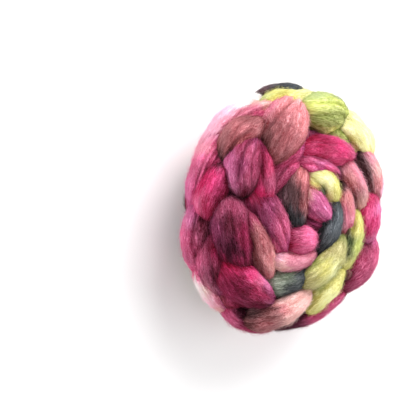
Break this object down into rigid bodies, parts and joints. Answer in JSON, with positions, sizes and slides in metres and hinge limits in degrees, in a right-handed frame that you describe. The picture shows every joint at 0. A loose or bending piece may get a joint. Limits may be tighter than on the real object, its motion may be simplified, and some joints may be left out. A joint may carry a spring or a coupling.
{
  "type": "wool roving coil",
  "caption": "Thick round coil of hand-dyed combed wool roving, looped into a chain and wound up, with plump overlapping lobes and a pressed-flat back.",
  "frame": {"origin": "under the middle of the coil's bounding box, on the surface it lies on", "axes": "+Z along the coil's axis, out of its face; the coil lies on its back"},
  "size_m": [0.1642, 0.1722, 0.0792],
  "materials": {
    "dyed_wool": "matt combed wool, dyed from magenta through salmon, yellow and charcoal"
  },
  "bodies": {
    "root": {"wound_roving": "dyed_wool"}
  },
  "joints": []
}
